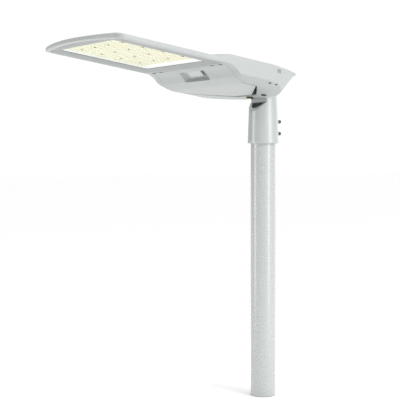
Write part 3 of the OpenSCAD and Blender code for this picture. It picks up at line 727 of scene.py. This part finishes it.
# light: frame, tray, seal and lens plates
def rounded(w, u0, u1, reach):
    outline = []
    for corner, before, after in (((w, u1), (-w, u1), (w, u0)), ((w, u0), (w, u1), (-w, u0)),
                                  ((-w, u0), (w, u0), (-w, u1)), ((-w, u1), (-w, u0), (w, u1))):
        outline += bend(before, corner, after, reach, 7)
    return outline


lensFrame = {"inset": 13.2, "rear": 232.0, "low": -9.0, "high": -3.05, "slope": 22.0, "slopeRear": 18.0,
             "slopeCorner": 14.0, "lip": 1.0}


def makeLensFrame():
    edge = slabCorner(lensFrame["inset"])
    rear, slope, low = lensFrame["rear"], lensFrame["slope"], lensFrame["low"]
    outline = mirrored(edge + [(edge[-1][0], rear + 3), (edge[-1][0] - 3, rear), (0, rear)])
    piece = prism(outline, outline, low, lensFrame["high"], "lens_frame_lip")
    wide = rounded(window["half"] + slope, window["rear"] - lensFrame["slopeRear"], window["front"] + slope,
                   lensFrame["slopeCorner"])
    tight = rounded(window["half"], window["rear"], window["front"], window["corner"])
    carve(piece, prism(wide, tight, low - 0.02, window["lip"] - lensFrame["lip"]))
    carve(piece, prism(tight, tight, -20, 0))
    grow = window["seal"] + 0.1
    carve(piece, brick((-window["half"] - grow, window["rear"] - grow, window["lip"]),
                       (window["half"] + grow, window["front"] + grow, 0)))
    softenEdges(piece, 0.5, 3, 24)
    return place(piece, "lens_frame_lip", "frame_enamel", "head", ["lens_frame"])


def makeTray():  # white sheet with an upstand all round the window, and openings over the boards
    grow = window["seal"]
    piece = brick((-window["half"] - grow, window["rear"] - grow, 0.02),
                  (window["half"] + grow, window["front"] + grow, 1.0), "reflector_tray_sheet")
    wallTop = window["lip"] + 0.25
    outer, inner = (rounded(window["half"] - inset, window["rear"] + inset, window["front"] - inset, corner)
                    for inset, corner in ((0.05, window["corner"]), (0.9, window["corner"] - 0.9)))
    carve(piece, prism(outer, outer, wallTop, 0.5), "UNION")
    carve(piece, prism(inner, inner, wallTop - 1, 0.02))
    half = light["pitchW"] * light["count"] / 2
    carve(piece, brick((0.3 - half, light["rear"] - 0.3, -1),
                       (half - 0.3, light["rear"] + light["pitchU"] * light["count"] + 0.3, 3)))
    softenEdges(piece, 0.15, 2, 40)
    return place(piece, "reflector_tray_sheet", "white_tray", "head", ["reflector_tray"])


def makeSeal():
    grow = window["seal"]
    outside = rounded(window["half"] + grow, window["rear"] - grow, window["front"] + grow, 2)
    inside = rounded(window["half"], window["rear"], window["front"], window["corner"])
    piece = prism(outside, outside, window["lip"] + 0.02, -0.02, "lens_seal_ring")
    carve(piece, prism(inside, inside, -20, 20))
    softenEdges(piece, 0.5, 2, 30)
    return place(piece, "lens_seal_ring", "seal_rubber", "head", ["lens_seal"])


lens = {"rowsU": 5, "rowsW": 6, "domeR": 3.1, "domeH": 2.0, "plate": 1.5, "screwShift": 1.0}


def moduleCentres():
    for i in range(light["count"]):
        for j in range(light["count"]):
            yield ((j - (light["count"] - 1) / 2) * light["pitchW"],
                   light["rear"] + (i + 0.5) * light["pitchU"])


def domeCentres():  # the two domes beside a module's screw stand a little further out
    stepW, stepU = light["pitchW"] / lens["rowsW"], light["pitchU"] / lens["rowsU"]
    for w0, u0 in moduleCentres():
        for i in range(lens["rowsU"]):
            for j in range(lens["rowsW"]):
                w = (j - (lens["rowsW"] - 1) / 2) * stepW
                near = i == lens["rowsU"] // 2 and abs(w) < stepW
                shift = math.copysign(lens["screwShift"], w) if near else 0
                yield w0 + w, u0 + (i - (lens["rowsU"] - 1) / 2) * stepU, shift


def makeLensPlates():
    # each lens is a square cell whose surface rises into a dome, so that a plate is one skin
    bm = bmesh.new()
    share = bm.verts.layers.float.new("domeShare")
    stepW, stepU = light["pitchW"] / lens["rowsW"], light["pitchU"] / lens["rowsU"]
    for w0, u0 in moduleCentres():
        hw, hu = light["pitchW"] / 2 - 0.2, light["pitchU"] / 2 - 0.2
        cells = [(w, u, s) for w, u, s in domeCentres() if abs(w - w0) < hw and abs(u - u0) < hu]
        for w, u, shift in cells:
            left, right = max(w - stepW / 2, w0 - hw), min(w + stepW / 2, w0 + hw)
            back, front = max(u - stepU / 2, u0 - hu), min(u + stepU / 2, u0 + hu)
            square = []
            for a, b in (((right, back), (right, front)), ((right, front), (left, front)),
                         ((left, front), (left, back)), ((left, back), (right, back))):
                square += [(a[0] + (b[0] - a[0]) * t / 4, a[1] + (b[1] - a[1]) * t / 4) for t in range(4)]
            rings = [[bm.verts.new(inHead(x, y, 0)) for x, y in square]]
            for reach, height in ((1, 0), (0.92, 0.42), (0.72, 0.76), (0.4, 0.95)):
                ring = []
                for x, y in square:
                    a = math.atan2(x - w, y - u)
                    ring.append(bm.verts.new(inHead(w + shift + lens["domeR"] * reach * math.sin(a),
                                                    u + lens["domeR"] * reach * math.cos(a),
                                                    -lens["domeH"] * height)))
                    ring[-1][share] = height
                rings.append(ring)
            for a, b in zip(rings, rings[1:]):
                for k in range(16):
                    m = (k + 1) % 16
                    bm.faces.new((a[k], a[m], b[m], b[k]))
            bm.faces.new(rings[-1])
            lowRing = [bm.verts.new(inHead(x, y, lens["plate"])) for x, y in square]
            bm.faces.new(lowRing)
            onEdge = [(abs(abs(x - w0) - hw) < 0.01, abs(abs(y - u0) - hu) < 0.01) for x, y in square]
            for k in range(16):
                m = (k + 1) % 16
                if (onEdge[k][0] and onEdge[m][0]) or (onEdge[k][1] and onEdge[m][1]):
                    bm.faces.new((rings[0][k], lowRing[k], lowRing[m], rings[0][m]))
    bmesh.ops.remove_doubles(bm, verts=bm.verts, dist=0.01)
    piece = newObject("lens_plates_domed", bm)
    return place(piece, "lens_plates_domed", "lens_acrylic", "head", ["lens_plates"], sharp=40)


# pole and sleeve
pole = {"r": 30.0, "wall": 3.0, "length": 670.0}
sleeve = {"low": 604.0, "high": 720.0, "lowR": 37.4, "highR": 33.3, "bore": 30.35, "stopR": 26.8,
          "stop": 671.0, "block": 18.0, "cableR": 9.0, "flat": 12.0, "bossOut": 40.4, "earIn": 18.0,
          "earOut": 26.4, "earR": 8.6, "earFoot": 5.4, "earTop": 727.4, "earZ": 734.0, "screwHole": 3.1}
screwHeights = (628.5, 657.5)


def makePole():
    r, inner, top = pole["r"], pole["r"] - pole["wall"], pole["length"]
    profile = [(inner, 0.5), (inner + 0.5, 0), (r - 0.5, 0), (r - 0.15, 0.15), (r, 0.5)]
    profile += [(r, top * i / 24) for i in range(1, 24)]
    profile += [(r, top - 1), (r - 0.6, top), (inner + 0.4, top), (inner, top - 0.5)]
    piece = turned(profile, (0, 0, 0), (0, 0, 1), 96, "pole_tube_turned")
    return place(piece, "pole_tube_turned", "pole_enamel", "pole", ["pole_tube"], poleMatrix)


def makeSleeve():
    low, high, a, b = sleeve["low"], sleeve["high"], sleeve["lowR"], sleeve["highR"]
    wall = [(a - 1.4, low), (a - 0.6, low + 0.25), (a - 0.12, low + 0.9), (a - 0.05, low + 1.8)]
    wall += [(a + (b - a) * i / 16, low + (high - low) * i / 16) for i in range(1, 16)]
    wall += [(b + 0.05, high - 1.5), (b - 0.4, high - 0.4), (b - 1.4, high)]
    block = high - sleeve["block"]
    inside = [(sleeve["cableR"], high), (sleeve["cableR"], block), (sleeve["stopR"], block),
              (sleeve["stopR"], sleeve["stop"]), (sleeve["bore"], sleeve["stop"]),
              (sleeve["bore"], low + 1), (sleeve["bore"] + 0.8, low)]
    piece = turned(wall + inside, (0, 0, 0), (0, 0, 1), 96, "spigot_sleeve_cast")
    top = high - sleeve["block"] + 2
    front = -sleeve["flat"]

    def slab(points, name="tool"):  # a (y, z) outline run across the sleeve
        return newObject(name, skinRings([[Vector((x, y, z)) for y, z in points] for x in (-50, 50)]))
    carve(piece, slab([(front, top), (front, high + 60), (front - 60, high + 60), (front - 60, top - 60)]))
    for z in screwHeights:
        boss = turned([(0.01, 33), (6.8, 33), (6.2, 38.5), (6, sleeve["bossOut"] - 0.6),
                       (5.4, sleeve["bossOut"]), (0.01, sleeve["bossOut"])], (0, 0, z), (0, 1, 0), 40)
        carve(piece, boss, "UNION")
    foot, neckZ = sleeve["earFoot"], sleeve["earTop"]
    points = [(foot, high - 2), (foot, neckZ)] + arc(0, sleeve["earZ"], sleeve["earR"], -48, 12, 24)
    points += [(-foot, neckZ), (-foot, high - 2)]
    for side in (-1, 1):
        ear = newObject("tool", skinRings([[Vector((side * x, y, z)) for y, z in points]
                                          for x in (sleeve["earIn"], sleeve["earOut"])]))
        carve(piece, ear, "UNION")
    softenEdges(piece, 0.6, 3, 30)
    for z in screwHeights:
        carve(piece, turned(rod(sleeve["screwHole"], 20, 45), (0, 0, z), (0, 1, 0), 24))
    return place(piece, "spigot_sleeve_cast", "sleeve_enamel", "pole", ["spigot_sleeve"], poleMatrix)


def makeSetScrews():
    shanks, caps = [], []
    for z in screwHeights:
        turns = [(0.01, 30.1)]
        y = 30.1
        while y < 46.0:  # a 1 mm thread, as rings
            turns += [(2.6, y), (3.0, y + 0.5)]
            y += 1.0
        turns += [(2.6, y), (3.7, y + 0.1), (3.8, 49.2), (3.6, 49.4), (0.01, 49.4)]
        shanks.append(turned(turns, (0, 0, z), (0, 1, 0), 24))
        caps.append(turned([(3.85, 46.2), (4.05, 46.2), (4.2, 46.5), (4.2, 51.4), (3.9, 52.1), (3.2, 52.4),
                            (0.01, 52.4), (0.01, 49.5), (3.85, 49.5)], (0, 0, z), (0, 1, 0), 32))
    placeRow(shanks, "set_screw_rods", "zinc_steel", "pole", ["set_screws"], poleMatrix)
    placeRow(caps, "set_screw_heads", "black_cap", "pole", ["set_screw_caps"], poleMatrix)


def makeTiltBolts():
    bolts, washers = [], []
    z = jointAt["head_tilt"].z
    for side in (-1, 1):
        axis = (side, 0, 0)
        bolt = turned([(0.01, 18), (3.6, 18), (4, 18.5), (4, 32.8), (6.3, 32.8), (6.5, 33.1), (6.5, 37),
                       (6.0, 37.7), (5.2, 37.8), (0.01, 37.8)], (0, 0, z), axis, 40)
        socket = turned([(0.01, 34.8), (3.4, 34.8), (3.4, 39), (0.01, 39)], (0, 0, z), axis, 6)
        carve(bolt, socket)
        bolts.append(bolt)
        washers.append(turned([(4.1, 31.2), (7.8, 31.2), (8, 31.4), (8, 32.6), (7.8, 32.78), (4.1, 32.78)],
                              (0, 0, z), axis, 40))
    placeRow(bolts, "tilt_bolt_pair", "zinc_steel", "head", ["tilt_bolts"], poleMatrix)
    placeRow(washers, "tilt_washer_pair", "zinc_steel", "head", ["tilt_washers"], poleMatrix)


def makeLatch():
    turn = Matrix.Rotation(math.radians(-latch["lean"]), 4, "X")
    base = inHead(0, latch["u"], latch["n"])
    top = 4 - latch["length"] / 2
    # the paddle's profile: a barrel round the pin, a flat blade, and a lip for the fingers
    profile = arc(top, latch["pinDepth"], 2.5, 50, 13, 21)
    profile += [(top + 8, 6.1), (top + 16, 6.1), (top + 18.4, 6.6), (top + 19.8, 7.6), (top + 19.8, 9.2),
                (top + 18.6, 9.45), (top + 2.2, 9.45)]
    piece = newObject("tool", skinRings([[base + turn @ Vector((x, y, z)) for y, z in profile]
                                         for x in (-26, -25.2, 25.2, 26)]))
    softenEdges(piece, 0.35, 2, 40)
    place(piece, "latch_paddle_blade", "latch_enamel", "latch", ["latch_paddle"])
    wire = bpy.data.curves.new("latch_spring_coils", "CURVE")
    wire.dimensions, wire.bevel_depth, wire.bevel_resolution = "3D", 0.32, 2
    for side in (-1, 1):
        spline = wire.splines.new("POLY")
        turnsCount, steps, length = 5.5, 12, 4.0
        total = int(turnsCount * steps)
        spline.points.add(total)
        for i in range(total + 1):
            a = 2 * math.pi * i / steps
            p = base + turn @ Vector((side * (26.8 + length * i / total), top + 2.05 * math.cos(a),
                                      latch["pinDepth"] + 2.05 * math.sin(a)))
            spline.points[i].co = (*p, 1)
    coil = bpy.data.objects.new("coil", wire)
    bpy.context.scene.collection.objects.link(coil)
    mesh = bpy.data.meshes.new_from_object(coil.evaluated_get(bpy.context.evaluated_depsgraph_get()))
    bpy.data.objects.remove(coil)
    springs = bpy.data.objects.new("latch_spring_coils", mesh)
    bpy.context.scene.collection.objects.link(springs)
    place(springs, "latch_spring_coils", "zinc_steel", "gear_cover", ["latch_springs"])


level = {"u": 34.0, "n": -45.0}


def makeLevel():
    base, up = inHead(0, level["u"], level["n"]), (0, 0, 1)
    ring = turned([(6.1, 0.3), (6.4, 0), (7.5, 0), (8, 0.6), (8, 3.98), (6.1, 3.98)], base, up, 48)
    place(ring, "level_ring_turned", "black_plastic", "head", ["level_ring"])
    vial = turned([(0.01, -0.6), (2.5, -0.55), (4.5, -0.3), (5.6, 0.15), (5.95, 0.8), (5.95, 4.9),
                   (0.01, 4.9)], base, up, 48)
    place(vial, "level_vial_dome", "vial_green", "head", ["level_vial"])
    mark = turned([(2.6, -0.56), (2.9, -0.56), (2.9, -0.45), (2.6, -0.45)], base, up, 40)
    place(mark, "level_mark_ring", "black_plastic", "head", [])


def makeModuleScrews():
    screws = []
    for w, u in moduleCentres():
        base, up = inHead(w, u, 0), (0, 0, 1)
        screw = turned([(0.01, -1.4), (1.6, -1.4), (1.95, -1.15), (2.6, -0.1), (2.6, 0), (1.5, 0),
                        (1.5, 4.2), (0.01, 4.2)], base, up, 20)
        carve(screw, turned([(0.01, -2), (0.9, -2), (0.9, -0.6), (0.01, -0.6)], base, up, 6))
        screws.append(screw)
    placeRow(screws, "module_screws", "black_screw", "head", ["lens_screws"])


buffers = {"at": (-138, -106, 106, 138), "half": 7.0, "rear": 223.0, "front": 223.98, "low": -10.0,
           "high": -6.05}


def makeBuffers():
    blocks = []
    for w in buffers["at"]:
        outline = [(w + a, u) for a, u in rounded(buffers["half"], buffers["rear"], buffers["front"], 0.4)]
        blocks.append(prism(outline, outline, buffers["low"], buffers["high"]))
    placeRow(blocks, "edge_buffer_pads", "seal_rubber", "head", ["edge_buffers"])


def makeFloor():
    bm = bmesh.new()
    size, steps = 40.0, 40
    bmesh.ops.create_grid(bm, x_segments=steps, y_segments=steps, size=size)
    floor = newObject("studio_floor", bm)
    floor.location = (0, 0, cadBox[0][2] - 0.0006)
    floor.data.materials.append(mouldedPlastic("palePaperFloor", "#fbfbfb", "#f8f8f8", 0.9, 40.0, 0.0))


makeCamera()
makeLights()
makeFloor()
dressNodes()
print("stage and materials done")
makePole()
makeSleeve()
makeSetScrews()
makeTiltBolts()
print("pole done")
makeHousing()
makeFins()
print("housing done")
makeCover()
makeLatch()
print("cover done")
makeLensFrame()
makeSeal()
makeTray()
makeLensPlates()
makeModuleScrews()
makeLevel()
makeBuffers()
print("light done")
